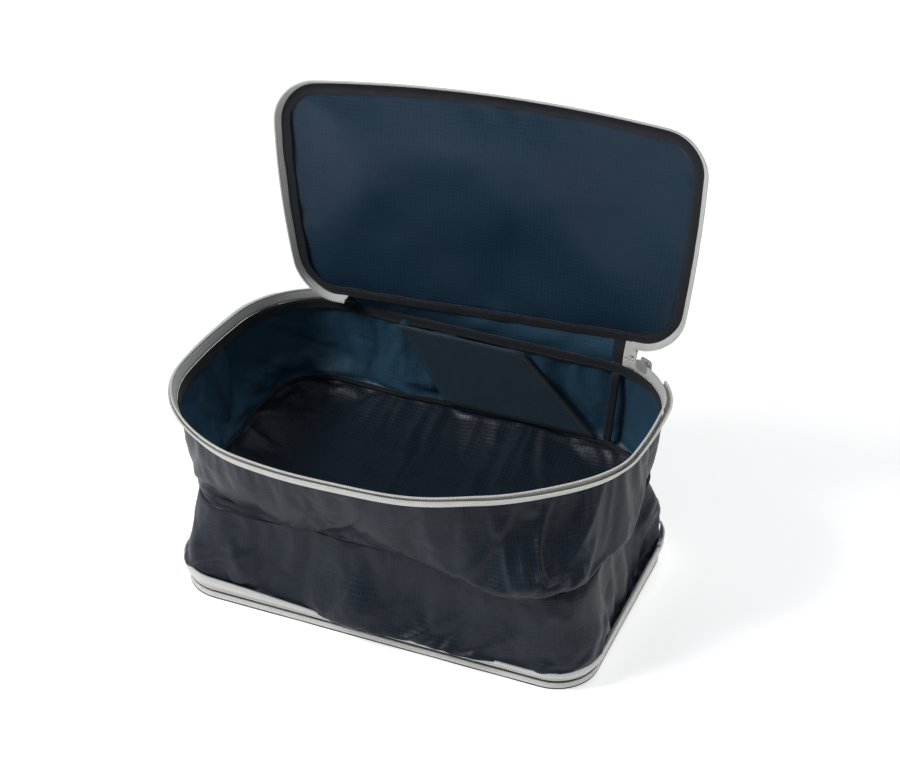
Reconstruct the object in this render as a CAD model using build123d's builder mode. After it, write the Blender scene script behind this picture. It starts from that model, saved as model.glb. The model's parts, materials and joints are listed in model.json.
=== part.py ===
from build123d import *
import math
import os
from collections import namedtuple

# Two-compartment laundry bag for packing: a soft box of thin ripstop cloth with a zip-round lid,
# a sewn-in divider at mid height, a zip-round bottom cover, and a compression zip whose two
# halves sit at the rim and at the foot of the wall, so that the wall folds away between them.
#
# Millimetres, +Z up, +X to the right, the hinge side at +Y, the origin on the floor under the
# middle of the bottom cover. The bag stands expanded, with its lid open.

os.makedirs("parts", exist_ok=True)

# --- driving sizes ---------------------------------------------------------------------------
cloth = 1.2                 # cloth panels
tape = 1.0                  # woven zip tape
binding = 0.8               # folded seam binding
binding_width = 8.0
layer_gap = 0.3             # air between layers that only lie side by side

bag_length = 320.0
bag_depth = 196.0
seam_draw = 7.0             # how far the divider draws the mid seam in
rim_draw = 2.0              # how far the rim's ends stand in from the foot's
lid_short = 18.0            # how much shorter the lid is than the bag is deep
corner = 32.0               # corners of the foot, the bottom cover and the lid
seam_corner = 36.0
rim_front_corner = 70.0     # the soft rim rounds its corners more
rim_back_corner = 55.0
rim_side_bow = 6.0          # and bellies at its sides and front
rim_front_bow = 10.0
lid_side_bow = 4.0
lid_front_bow = 8.0

divider_height = 80.0       # heights above the floor
rim_height = 150.0

coil_high = 2.0             # zip coil, across the tape
coil_half = 0.9             # half its thickness
rim_tape_height = 7.6       # rim half of the lid zip
skirt_height = 5.6          # lid half of the lid zip, and the rim half of the compression zip
skirt_flare = 4.6           # how far both lie out from upright
lower_tape_stand = 2.6      # foot half of the compression zip, out from the wall
lower_tape_height = 8.0
bottom_chain_gap = 1.4      # between the two coils of the bottom zip
foot_zip_gap = 1.05         # from the bottom zip's slider up to the compression zip

hinge_half = 102.0          # half the length of the lid's hinge strip
hinge_tab_width = 8.0
hinge_rise = 21.0           # from the rim seam to the lid's hinge line
hinge_clear = 2.2           # from the top of the strip to the hinge line
hinge_set_back = 0.6        # hinge lines stand this far behind the wall
lid_edge = 1.5              # from the hinge line to the lid's edge
lid_lean = 2.0              # degrees past upright
bottom_hinge_half = 88.0
band_end_back = 25.0        # compression zip halves end this far in front of the back wall
band_end_side = 8.0         # and this far in from the ends of the bag

slider_length = 11.0
slider_height = 8.5
slider_plate = 1.0
slider_channel = 1.9        # half the space between the two plates
slider_corner = 2.5
post_long = 2.5             # post between the plates
post_high = 0.8
slider_floor_gap = 0.45     # from the bottom cover's binding up to the slider
bail_radius = 0.65          # rod that carries the pull
bail_clearance = 0.07
bail_rise = 1.7             # from the plate's face to the middle of the rod
bail_foot = 1.2
bail_half = 2.6             # from the slider's middle to each foot's middle
pull_length = 14.0
pull_width = 7.0
pull_thick = 1.2
pull_taper = 4.0
pull_corner = 2.0
eye_radius = 1.7
eye_half = 1.6
lid_slider_turn = 62.0      # place on the rim's back corner, degrees from +X
lid_stop_turn = 75.0
stop_long = 2.0
stop_proud = 0.4            # how far a zip stop stands out of the coil
stop_clearance = 0.05
post_clearance = 0.3        # between a coil and a slider's post
lid_slider_drop = 1.0       # the lid slider sits this far below the middle of the coil
side_stop_inset = 6.0       # from the back corner to the stops on the straight sides
side_slider_inset = 12.0    # from the stops to the bottom zip's slider
slider_stagger = 20.0       # the compression zip's slider stands this far ahead of it

ribbon_width = 6.5
ribbon_outset = 4.0         # from the end of the hinge strip to the middle of the ribbon
ribbon_gap = 0.9            # between the back wall and what is sewn inside it
pocket_top = (-60.0, 35.0)  # back pocket's top edge, x from and to
pocket_foot_left = -20.0
pocket_edge = 5.0           # width of the binding along its slanted edge
pocket_ribbon_gap = 1.75    # from that binding's foot to the ribbon

# --- derived places --------------------------------------------------------------------------
Plan = namedtuple("Plan", "half_width front back front_corner back_corner side_bow front_bow")
base_plan = Plan(bag_length / 2, -bag_depth / 2, bag_depth / 2, corner, corner, 0, 0)
divider_plan = Plan(
    base_plan.half_width - seam_draw,
    base_plan.front + seam_draw,
    base_plan.back - seam_draw,
    seam_corner,
    seam_corner,
    0,
    0,
)
rim_plan = Plan(
    base_plan.half_width - rim_draw,
    base_plan.front,
    base_plan.back,
    rim_front_corner,
    rim_back_corner,
    rim_side_bow,
    rim_front_bow,
)
lid_plan = Plan(
    rim_plan.half_width,
    lid_short - bag_depth,
    0,
    corner,
    corner,
    lid_side_bow,
    lid_front_bow,
)
rim_band_open = rim_plan.half_width - band_end_side
foot_band_open = base_plan.half_width - band_end_side
side_stop_y = base_plan.back - base_plan.back_corner - side_stop_inset
side_slider_y = side_stop_y - side_slider_inset
ribbon_middle = hinge_half + ribbon_outset
ribbon_sides = (ribbon_middle - ribbon_width / 2, ribbon_middle + ribbon_width / 2)
pocket_foot = (pocket_foot_left, ribbon_sides[0] - pocket_ribbon_gap - pocket_edge)
rim_tape_top = rim_height + rim_tape_height
hinge_y = rim_plan.back + hinge_set_back
hinge_z = rim_height + hinge_rise
strip_top = hinge_z - hinge_clear
divider_low = divider_height - cloth / 2
divider_high = divider_height + cloth / 2
bottom_chain = cloth + binding + slider_floor_gap + slider_height / 2   # middle of the bottom zip
cover_coil_foot = bottom_chain - bottom_chain_gap / 2 - coil_high
upper_coil_foot = bottom_chain + bottom_chain_gap / 2
upper_coil_top = upper_coil_foot + coil_high
lower_web = bottom_chain + slider_height / 2 + foot_zip_gap
wall_foot = lower_web + 2 * tape
lower_coil_foot = wall_foot + lower_tape_height
hinge_end = hinge_half + hinge_tab_width
tape_middle = -tape / 2
reach = 60.0                # larger than any band's width

# The open lid: its own +Y runs back down to the hinge, +Z faces the inside of the bag.
lean = math.radians(lid_lean)
lid_plane = Plane(
    origin=(0, hinge_y + lid_edge * math.sin(lean), hinge_z + lid_edge * math.cos(lean)),
    x_dir=(-1, 0, 0),
    z_dir=(0, -math.cos(lean), math.sin(lean)),
)


def side(start, end, middle, bow):
    """One side of an outline: straight, or an arc through its bowed-out middle."""
    if bow:
        return ThreePointArc(start, middle, end)
    return Line(start, end)


def outline(plan, grow=0.0):
    """The face inside a plan outline that is grown outwards all round."""
    right = plan.half_width + grow
    low = plan.front - grow
    high = plan.back + grow
    belly = right + plan.side_bow
    with BuildSketch() as drawn:
        with BuildLine():
            Line((-right, high), (right, high))
            side((right, high), (right, low), (belly, (low + high) / 2), plan.side_bow)
            side((right, low), (-right, low), (0, low - plan.front_bow), plan.front_bow)
            side((-right, low), (-right, high), (-belly, (low + high) / 2), plan.side_bow)
        make_face()
        fillet(drawn.vertices().group_by(Axis.Y)[-1], plan.back_corner + grow)
        fillet(drawn.vertices().group_by(Axis.Y)[0], plan.front_corner + grow)
    return drawn.sketch


def save(piece, name):
    """Labels a finished piece and writes it as its own node."""
    piece.part.label = name
    export_step(piece.part, f"parts/{name}.step")


def loft_outline(low, low_plan, low_grow, high, high_plan, high_grow, plane, mode):
    """Lofts a solid between two outlines, into the part being built."""
    with BuildSketch(plane.offset(low)) as start:
        add(outline(low_plan, low_grow))
    with BuildSketch(plane.offset(high)) as end:
        add(outline(high_plan, high_grow))
    loft([start.sketch, end.sketch], mode=mode)


def cut_back(low, high, plan, half, ahead, plane):
    """Cuts a band away at the hinge side, between -half and half."""
    with BuildSketch(plane.offset(low)) as opening:
        with Locations((0, plan.back + (reach - ahead) / 2)):
            Rectangle(2 * half, reach + ahead)
    extrude(opening.sketch, amount=high - low, mode=Mode.SUBTRACT)


def band(name, plan, inner, outer, low, high, open_half=0.0, ahead=reach, plane=Plane.XY, foot=None):
    """An upright band along an outline, with an optional web that ties its foot to the wall."""
    with BuildPart() as piece:
        with BuildSketch(plane.offset(low)):
            add(outline(plan, outer))
            add(outline(plan, inner), mode=Mode.SUBTRACT)
        extrude(amount=high - low)
        if foot is not None:
            with BuildSketch(plane.offset(low)):
                add(outline(plan, inner))
                add(outline(plan, foot), mode=Mode.SUBTRACT)
            extrude(amount=tape)
        if open_half:
            cut_back(low, high, plan, open_half, ahead, plane)
    save(piece, name)


def flared_band(name, plan, grow, low, high, open_half, ahead, plane=Plane.XY):
    """A tape that leans outwards from its seam."""
    with BuildPart() as piece:
        for inset, mode in ((tape, Mode.ADD), (0, Mode.SUBTRACT)):
            loft_outline(low, plan, grow + inset, high, plan, grow + inset + skirt_flare, plane, mode)
        cut_back(low, high, plan, open_half, ahead, plane)
    save(piece, name)


def plate(name, plan, low, high, plane=Plane.XY, grow=0.0):
    """A flat panel with the outline's shape."""
    with BuildPart() as piece:
        with BuildSketch(plane.offset(low)):
            add(outline(plan, grow))
        extrude(amount=high - low)
    save(piece, name)


def wall(name, low_plan, low, high_plan, high):
    """One tier of the side wall."""
    with BuildPart() as piece:
        loft_outline(low, low_plan, 0, high, high_plan, 0, Plane.XY, Mode.ADD)
        loft_outline(low, low_plan, -cloth, high, high_plan, -cloth, Plane.XY, Mode.SUBTRACT)
    save(piece, name)


def between(low_plan, high_plan, share):
    """The outline part of the way up a wall that is lofted between two outlines."""
    return Plan(*(low + (high - low) * share for low, high in zip(low_plan, high_plan)))


def lining(name, low_plan, low, high_plan, high):
    """A binding inside a wall, following the wall's lean."""
    with BuildPart() as piece:
        for grow, mode in ((-cloth - layer_gap, Mode.ADD), (-cloth - layer_gap - binding, Mode.SUBTRACT)):
            loft_outline(low, low_plan, grow, high, high_plan, grow, Plane.XY, mode)
    save(piece, name)


def slab(name, left, right, near, away, low, high):
    """A small straight strip of cloth or tape."""
    with BuildPart() as piece:
        with Locations(((left + right) / 2, (near + away) / 2, (low + high) / 2)):
            Box(right - left, away - near, high - low)
    save(piece, name)


def tape_plane(x, y, height, angle):
    """A place on a zip: +X along the tape, +Y up, +Z outwards at an angle from the row's +X."""
    turn = math.radians(angle)
    out = (math.cos(turn), math.sin(turn), 0)
    return Plane(origin=(x, y, height), x_dir=(-out[1], out[0], 0), z_dir=out)


def corner_plane(height, angle):
    """A place on the rim zip where it rounds the back right corner."""
    turn = math.radians(angle)
    arcs = outline(rim_plan, tape_middle).edges().filter_by(GeomType.CIRCLE)
    corner = arcs.group_by(SortBy.RADIUS)[0].sort_by(Axis.X)[-1]
    centre = corner.arc_center
    return tape_plane(
        centre.X + corner.radius * math.cos(turn),
        centre.Y + corner.radius * math.sin(turn),
        height,
        angle,
    )


def mirrored(plane):
    """The same place on the left of the bag."""
    angle = 180 - math.degrees(math.atan2(plane.z_dir.Y, plane.z_dir.X))
    return tape_plane(-plane.origin.X, plane.origin.Y, plane.origin.Z, angle)


def slider(name, plane, post_foot, bail_plane):
    """Zip slider: two plates joined by a post, with a rod on the outer plate for the pull."""
    face = slider_channel + slider_plate
    with BuildPart() as piece:
        for low in (slider_channel, -face):
            with BuildSketch(plane.offset(low)):
                RectangleRounded(slider_length, slider_height, slider_corner)
            extrude(amount=slider_plate)
        with BuildSketch(plane.offset(-slider_channel)):
            with Locations((0, post_foot + post_high / 2)):
                Rectangle(post_long, post_high)
        extrude(amount=2 * slider_channel)
        with BuildSketch(bail_plane.offset(face)):
            with Locations((-bail_half, 0), (bail_half, 0)):
                Rectangle(bail_foot, 2 * bail_radius)
        extrude(amount=bail_rise)
        with BuildSketch(rod_plane(bail_plane).offset(-bail_half - bail_foot / 2)):
            Circle(bail_radius)
        extrude(amount=2 * bail_half + bail_foot)
    save(piece, name)


def rod_plane(bail_plane):
    """Plane across the pull's rod, at the rod's middle."""
    rise = slider_channel + slider_plate + bail_rise
    return Plane(
        origin=bail_plane.from_local_coords((0, 0, rise)),
        x_dir=bail_plane.y_dir,
        z_dir=bail_plane.x_dir,
    )


def pull(name, bail_plane):
    """Pull tab with an eye round the slider's rod."""
    across = rod_plane(bail_plane)
    flat = Plane(origin=across.origin, x_dir=bail_plane.x_dir, z_dir=bail_plane.z_dir)
    with BuildPart() as piece:
        with BuildSketch(across.offset(-eye_half)):
            Circle(eye_radius)
        extrude(amount=2 * eye_half)
        with BuildSketch(flat.offset(-pull_thick / 2)) as tab:
            with BuildLine():
                Polyline(
                    (-eye_half, -eye_radius),
                    (-eye_half, 0),
                    (eye_half, 0),
                    (eye_half, -eye_radius),
                    (pull_width / 2, -pull_taper),
                    (pull_width / 2, -pull_length),
                    (-pull_width / 2, -pull_length),
                    (-pull_width / 2, -pull_taper),
                    close=True,
                )
            make_face()
            fillet(tab.vertices().group_by(Axis.Y)[0], pull_corner)
        extrude(amount=pull_thick)
        with BuildSketch(across.offset(-eye_half)):
            Circle(bail_radius + bail_clearance)
        extrude(amount=2 * eye_half, mode=Mode.SUBTRACT)
    save(piece, name)
    print(name, "turns about", across.origin, "along", across.z_dir)


def stops(name, planes):
    """Zip stops clenched over the ends of a coil: small channels that the coil runs into."""
    inside = coil_half + stop_clearance
    with BuildPart() as piece:
        for plane in planes:
            across = Plane(origin=plane.origin, x_dir=plane.z_dir, z_dir=-plane.x_dir)
            with BuildSketch(across.offset(-stop_long / 2)):
                with Locations((0, stop_proud / 2)):
                    Rectangle(2 * (inside + stop_proud), coil_high + stop_proud)
                with Locations((0, -stop_proud / 2)):
                    Rectangle(2 * inside, coil_high + stop_proud, mode=Mode.SUBTRACT)
            extrude(amount=stop_long)
    save(piece, name)


# --- bottom cover ----------------------------------------------------------------------------
plate("bottom_cover_panel", base_plan, 0, cloth)
band("bottom_cover_binding", base_plan, -binding_width, -2 * tape, cloth, cloth + binding)
band("bottom_zip_cover_tape", base_plan, -tape, 0, cloth, cover_coil_foot, bottom_hinge_half)
upright_coil_grow = (tape_middle - coil_half, tape_middle + coil_half)
band(
    "bottom_zip_cover_coil",
    base_plan,
    *upright_coil_grow,
    cover_coil_foot,
    cover_coil_foot + coil_high,
    bottom_hinge_half,
)

# --- lower frame: what the bottom of the wall is sewn to --------------------------------------
band(
    "bottom_zip_wall_coil",
    base_plan,
    *upright_coil_grow,
    upper_coil_foot,
    upper_coil_top,
    bottom_hinge_half,
)
band("bottom_zip_wall_tape", base_plan, -tape, 0, upper_coil_top, wall_foot, bottom_hinge_half)
slab(
    "bottom_hinge_strip",
    -bottom_hinge_half + layer_gap,
    bottom_hinge_half - layer_gap,
    base_plan.back - tape,
    base_plan.back,
    cloth + layer_gap,
    wall_foot,
)
foot_binding_top = wall_foot + binding_width / 2
foot_share = (foot_binding_top - wall_foot) / (divider_low - wall_foot)
foot_binding_plan = between(base_plan, divider_plan, foot_share)
lining("foot_binding", base_plan, wall_foot, foot_binding_plan, foot_binding_top)
lower_tape_grow = (lower_tape_stand, lower_tape_stand + tape)
band(
    "compression_zip_foot_tape",
    base_plan,
    *lower_tape_grow,
    lower_web,
    lower_coil_foot,
    foot_band_open,
    band_end_back,
    foot=0,
)
lower_coil_middle = lower_tape_stand + tape / 2
band(
    "compression_zip_foot_coil",
    base_plan,
    lower_coil_middle - coil_half,
    lower_coil_middle + coil_half,
    lower_coil_foot,
    lower_coil_foot + coil_high,
    foot_band_open,
    band_end_back,
)
wall("lower_wall", base_plan, wall_foot, divider_plan, divider_low - layer_gap)

# --- mid seam ---------------------------------------------------------------------------------
plate("divider_panel", divider_plan, divider_low, divider_high)
band(
    "mid_seam_binding",
    divider_plan,
    -cloth - layer_gap - binding,
    -cloth - layer_gap,
    divider_high,
    divider_high + binding_width / 2,
)

# --- rim --------------------------------------------------------------------------------------
wall("upper_wall", divider_plan, divider_high + layer_gap, rim_plan, rim_height)
rim_share = (rim_height - binding_width - divider_high) / (rim_height - divider_high)
rim_binding_plan = between(divider_plan, rim_plan, rim_share)
lining("rim_binding", rim_binding_plan, rim_height - binding_width, rim_plan, rim_height)
band("lid_zip_rim_tape", rim_plan, -tape, 0, rim_height, rim_tape_top, hinge_end)
band(
    "lid_zip_rim_coil",
    rim_plan,
    *upright_coil_grow,
    rim_tape_top,
    rim_tape_top + coil_high,
    hinge_end,
)
flared_band(
    "compression_zip_rim_tape",
    rim_plan,
    0,
    rim_height,
    rim_height + skirt_height,
    rim_band_open,
    band_end_back,
)
flare_middle = skirt_flare + tape / 2
band(
    "compression_zip_rim_coil",
    rim_plan,
    flare_middle - coil_half,
    flare_middle + coil_half,
    rim_height + skirt_height,
    rim_height + skirt_height + coil_high,
    rim_band_open,
    band_end_back,
)
strip_back = rim_plan.back
strip_front = rim_plan.back - tape
slab("hinge_strip", -hinge_half, hinge_half, strip_front, strip_back, rim_height, strip_top)
slab("hinge_tab_right", hinge_half, hinge_end, strip_front, strip_back, rim_height, strip_top)
slab("hinge_tab_left", -hinge_end, -hinge_half, strip_front, strip_back, rim_height, strip_top)
# Sewn against the inside of the back wall, which leans out from the mid seam to the rim.
back_wall_plane = Plane(
    origin=(0, divider_plan.back - cloth - ribbon_gap, divider_high),
    x_dir=(1, 0, 0),
    z_dir=(0, divider_high - rim_height, rim_plan.back - divider_plan.back),
)
back_wall_rise = math.hypot(rim_height - divider_high, rim_plan.back - divider_plan.back)
lining_low = binding_width / 2 + layer_gap
lining_high = back_wall_rise - binding_width - 2 * layer_gap


def back_lining(name, top_left, top_right, foot_left, foot_right):
    """A flat piece inside the back wall, from the mid seam up to the rim binding."""
    with BuildPart() as piece:
        with BuildSketch(back_wall_plane):
            with BuildLine():
                Polyline(
                    (top_left, lining_high),
                    (top_right, lining_high),
                    (foot_right, lining_low),
                    (foot_left, lining_low),
                    close=True,
                )
            make_face()
        extrude(amount=binding)
    save(piece, name)


back_lining("wall_seam_ribbon", *ribbon_sides, *ribbon_sides)
back_lining("back_pocket", *pocket_top, *pocket_foot)
back_lining(
    "back_pocket_binding",
    pocket_top[1],
    pocket_top[1] + pocket_edge,
    pocket_foot[1],
    pocket_foot[1] + pocket_edge,
)

# --- lid --------------------------------------------------------------------------------------
plate("lid_panel", lid_plan, -cloth, 0, lid_plane)
band("lid_binding", lid_plan, -binding_width, 0, 0, binding, plane=lid_plane)
flared_band("lid_zip_lid_tape", lid_plan, -tape, binding, skirt_height, hinge_end, reach / 3, lid_plane)
lid_coil_middle = skirt_flare - tape / 2
band(
    "lid_zip_lid_coil",
    lid_plan,
    lid_coil_middle - coil_half,
    lid_coil_middle + coil_half,
    skirt_height,
    skirt_height + coil_high,
    hinge_end,
    reach / 3,
    lid_plane,
)

# --- sliders, pulls and stops -------------------------------------------------------------------
rim_coil_middle = rim_tape_top + coil_high / 2
lid_slider_plane = corner_plane(rim_coil_middle - lid_slider_drop, lid_slider_turn)
lid_post_foot = lid_slider_drop + coil_high / 2 + post_clearance
slider("lid_zip_slider", lid_slider_plane, lid_post_foot, lid_slider_plane)
pull("lid_zip_pull", lid_slider_plane)
lid_stop_plane = corner_plane(rim_coil_middle, lid_stop_turn)
stops("lid_zip_stops", (lid_stop_plane, mirrored(lid_stop_plane)))

foot_x = base_plan.half_width + lower_coil_middle
foot_coil_middle = lower_coil_foot + coil_high / 2
foot_slider_plane = mirrored(tape_plane(foot_x, side_slider_y - slider_stagger, foot_coil_middle, 0))
slider("compression_zip_slider", foot_slider_plane, coil_high / 2 + post_clearance, foot_slider_plane)
pull("compression_zip_pull", foot_slider_plane)
foot_stop_plane = tape_plane(foot_x, side_stop_y, foot_coil_middle, 0)
stops("compression_zip_stops", (foot_stop_plane, mirrored(foot_stop_plane)))

bottom_slider_x = base_plan.half_width + tape_middle
bottom_slider_plane = mirrored(tape_plane(bottom_slider_x, side_slider_y, bottom_chain, 0))
bottom_bail_plane = Plane(
    origin=bottom_slider_plane.origin,
    x_dir=bottom_slider_plane.y_dir,
    z_dir=bottom_slider_plane.z_dir,
)
slider("bottom_zip_slider", bottom_slider_plane, -post_high / 2, bottom_bail_plane)
pull("bottom_zip_pull", bottom_bail_plane)
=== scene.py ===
# A two-compartment laundry bag of thin ripstop cloth, standing expanded with its lid open.
import json
import math

import bpy
import numpy as np
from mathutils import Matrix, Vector, noise
from mathutils.bvhtree import BVHTree


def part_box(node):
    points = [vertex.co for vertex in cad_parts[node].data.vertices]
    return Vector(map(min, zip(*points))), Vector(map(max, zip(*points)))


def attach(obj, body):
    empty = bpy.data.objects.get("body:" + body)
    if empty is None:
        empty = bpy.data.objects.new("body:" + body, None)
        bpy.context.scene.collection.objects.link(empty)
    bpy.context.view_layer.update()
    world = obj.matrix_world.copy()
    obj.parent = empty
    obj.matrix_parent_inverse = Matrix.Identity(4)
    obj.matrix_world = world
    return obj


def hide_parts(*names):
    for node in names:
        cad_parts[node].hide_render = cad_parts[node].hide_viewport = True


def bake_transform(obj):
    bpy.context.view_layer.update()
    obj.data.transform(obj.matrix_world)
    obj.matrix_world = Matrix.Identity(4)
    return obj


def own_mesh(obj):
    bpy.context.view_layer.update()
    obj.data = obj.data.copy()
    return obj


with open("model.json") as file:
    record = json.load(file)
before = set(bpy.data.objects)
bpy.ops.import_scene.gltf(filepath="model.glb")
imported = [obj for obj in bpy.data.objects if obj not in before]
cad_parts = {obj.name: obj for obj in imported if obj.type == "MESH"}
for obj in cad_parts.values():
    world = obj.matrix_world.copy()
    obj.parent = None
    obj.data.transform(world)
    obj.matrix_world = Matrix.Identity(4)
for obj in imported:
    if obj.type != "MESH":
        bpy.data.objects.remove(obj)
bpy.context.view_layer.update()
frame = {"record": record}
mm = 0.001

jointAt = {joint["name"]: joint for joint in frame["record"]["behaviour"]["joints"]}
hingeY, hingeZ = jointAt["lid_hinge"]["pos_m"][1:]
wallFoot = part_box("lower_wall")[0][2]
seamZ = sum(corner[2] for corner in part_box("divider_panel")) / 2
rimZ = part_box("upper_wall")[1][2]
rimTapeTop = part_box("lid_zip_rim_tape")[1][2]
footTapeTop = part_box("compression_zip_foot_tape")[1][2]
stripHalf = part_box("hinge_strip")[1][0]
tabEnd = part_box("hinge_tab_right")[1][0]


# A rounded outline with the size of a CAD piece. Its sides and front can bow outwards.
def planOf(node, frontCorner, backCorner, sideBow=0.0, frontBow=0.0):
    low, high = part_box(node)
    return {
        "half": high[0] - sideBow,
        "front": low[1] + frontBow,
        "back": high[1],
        "frontCorner": frontCorner,
        "backCorner": backCorner,
        "sideBow": sideBow,
        "frontBow": frontBow,
    }


basePlan = planOf("bottom_cover_panel", frontCorner=32 * mm, backCorner=32 * mm)
seamPlan = planOf("divider_panel", frontCorner=36 * mm, backCorner=36 * mm)
rimPlan = planOf(
    "lid_zip_rim_tape", frontCorner=70 * mm, backCorner=55 * mm, sideBow=6 * mm, frontBow=10 * mm
)
lidPlan = {
    "half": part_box("lid_panel")[1][0] - 4 * mm,
    "front": -169 * mm,
    "back": 0.0,
    "frontCorner": 28 * mm,
    "backCorner": 28 * mm,
    "sideBow": 4 * mm,
    "frontBow": 12 * mm,
}
# How the open lid stands: nearly upright, turned a little, its hinge edge gathered in.
lidStance = {
    "lean": math.radians(2.8),
    "yaw": math.radians(3.9),
    "roll": math.radians(-1.6),
    "shift": (10.5 * mm, -2.5 * mm, -6.4 * mm),
    "gather": 0.097,
    "curl": 3.8 * mm,
}
hingeShift = 6 * mm  # the hinge sits this far to the right of the middle


# Points spaced evenly along a line.
def evenly(points, count, closed):
    line = np.vstack([points, points[:1]]) if closed else np.asarray(points)
    steps = np.linalg.norm(np.diff(line, axis=0), axis=1)
    along = np.concatenate([[0], np.cumsum(steps)])
    wanted = np.linspace(0, along[-1], count, endpoint=not closed)
    return np.stack([np.interp(wanted, along, line[:, k]) for k in range(line.shape[1])], axis=1)


# Even points round a plan outline, anticlockwise from the middle of the back.
def outline(plan, count, grow=0.0):
    half = plan["half"] + grow
    front = plan["front"] - grow
    back = plan["back"] + grow
    frontCorner = plan["frontCorner"] + grow
    backCorner = plan["backCorner"] + grow
    corners = (
        (backCorner - half, back - backCorner, backCorner, 90),
        (frontCorner - half, front + frontCorner, frontCorner, 180),
        (half - frontCorner, front + frontCorner, frontCorner, 270),
        (half - backCorner, back - backCorner, backCorner, 0),
    )
    line = [(0.0, back)]
    for x, y, radius, start in corners:
        turn = np.radians(start + np.linspace(0, 90, 24))
        line += list(zip(x + radius * np.cos(turn), y + radius * np.sin(turn)))
    line = evenly(np.array(line), 1600, True)
    middle, depth = (front + back) / 2, (back - front) / 2
    across = line[:, 0] / half
    along = (line[:, 1] - middle) / depth
    line[:, 0] += plan["sideBow"] * across * np.abs(across) * (1 - along**2)
    line[:, 1] -= plan["frontBow"] * (1 - across**2) * np.clip(-along, 0, 1) ** 2
    return evenly(line, count, True)


# A level ring round a plan.
def ringRow(plan, count, grow, height):
    flat = outline(plan, count, grow)
    return np.column_stack([flat, np.full(count, height)])


# Smooth noise between about -1 and 1 at each point.
def wave(points, size, seed):
    shift = Vector((seed * 7.3, seed * 3.1, seed * 1.7))
    return np.array([noise.noise(Vector(point) / size + shift) for point in points]) * 1.6


# How near each point is to a place, from 0 to 1.
def near(row, x, y, size):
    gap = np.hypot(row[:, 0] - x, row[:, 1] - y)
    return np.exp(-((gap / size) ** 2))


# A sheet of quads. Its UVs are in metres: from the flat cut where that is given, else along and across.
def gridMesh(name, rows, closed=False, flat=None):
    rows = np.asarray(rows, float)
    high, wide = rows.shape[:2]
    columns = wide if closed else wide - 1
    r, c = np.meshgrid(np.arange(high - 1), np.arange(columns), indexing="ij")
    r, c = r.ravel(), c.ravel()
    after = (c + 1) % wide
    faces = np.stack([r * wide + c, r * wide + after, (r + 1) * wide + after, (r + 1) * wide + c], axis=1)
    mesh = bpy.data.meshes.new(name)
    mesh.from_pydata(rows.reshape(-1, 3).tolist(), [], faces.tolist())
    if flat is None:
        ring = np.concatenate([rows, rows[:, :1]], axis=1) if closed else rows
        u = np.concatenate([[0], np.cumsum(np.linalg.norm(np.diff(ring, axis=1), axis=2).mean(axis=0))])
        v = np.concatenate([[0], np.cumsum(np.linalg.norm(np.diff(rows, axis=0), axis=2).mean(axis=1))])
        uvs = np.stack([u[c], v[r], u[c + 1], v[r], u[c + 1], v[r + 1], u[c], v[r + 1]], axis=1)
        uvs = uvs.reshape(-1, 2)
    else:
        uvs = np.asarray(flat).reshape(-1, 2)[faces.reshape(-1)]
    layer = mesh.uv_layers.new(name="cut")
    layer.data.foreach_set("uv", uvs.ravel())
    mesh.polygons.foreach_set("use_smooth", np.ones(len(faces), bool))
    piece = bpy.data.objects.new(name, mesh)
    bpy.context.collection.objects.link(piece)
    return piece


# A near-regular grid of points over a rounded outline, its edge on the outline.
def panelGrid(plan, wide, high):
    line = outline(plan, 1200)
    centre = np.array([0.0, (plan["front"] + plan["back"]) / 2])
    spokes = line - centre
    order = np.argsort(np.arctan2(spokes[:, 1], spokes[:, 0]))
    angles = np.arctan2(spokes[:, 1], spokes[:, 0])[order]
    lengths = np.linalg.norm(spokes, axis=1)[order]
    a, b = np.meshgrid(np.linspace(-1, 1, wide), np.linspace(-1, 1, high))
    square = np.stack([a * plan["half"], b * (plan["back"] - plan["front"]) / 2], axis=2)
    level = np.maximum(np.abs(a), np.abs(b))[..., None]
    turn = np.arctan2(square[..., 1], square[..., 0])
    reach = np.interp(turn, angles, lengths, period=2 * math.pi)
    edge = np.stack([np.cos(turn), np.sin(turn)], axis=2) * reach[..., None] * level
    share = level**3
    return centre + square * (1 - share) + edge * share


# Turns a piece's modifiers into its mesh.
def applied(piece):
    shaped = piece.evaluated_get(bpy.context.evaluated_depsgraph_get())
    mesh = bpy.data.meshes.new_from_object(shaped)
    piece.modifiers.clear()
    piece.data = mesh
    return piece


def coords(piece):
    places = np.empty(len(piece.data.vertices) * 3)
    piece.data.vertices.foreach_get("co", places)
    return places.reshape(-1, 3)


def setCoords(piece, places):
    piece.data.vertices.foreach_set("co", np.asarray(places, float).ravel())
    piece.data.update()


# Gives a sheet its thickness, with a second material slot on its inner side if it has one.
def thicken(piece, thick, offset=-1.0, inner=False, levels=0):
    if levels:
        smooth = piece.modifiers.new("smooth", "SUBSURF")
        smooth.levels = levels
        smooth.render_levels = levels
    solid = piece.modifiers.new("thick", "SOLIDIFY")
    solid.thickness = thick
    solid.offset = offset
    solid.material_offset = 1 if inner else 0
    solid.use_even_offset = False
    return applied(piece)


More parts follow.
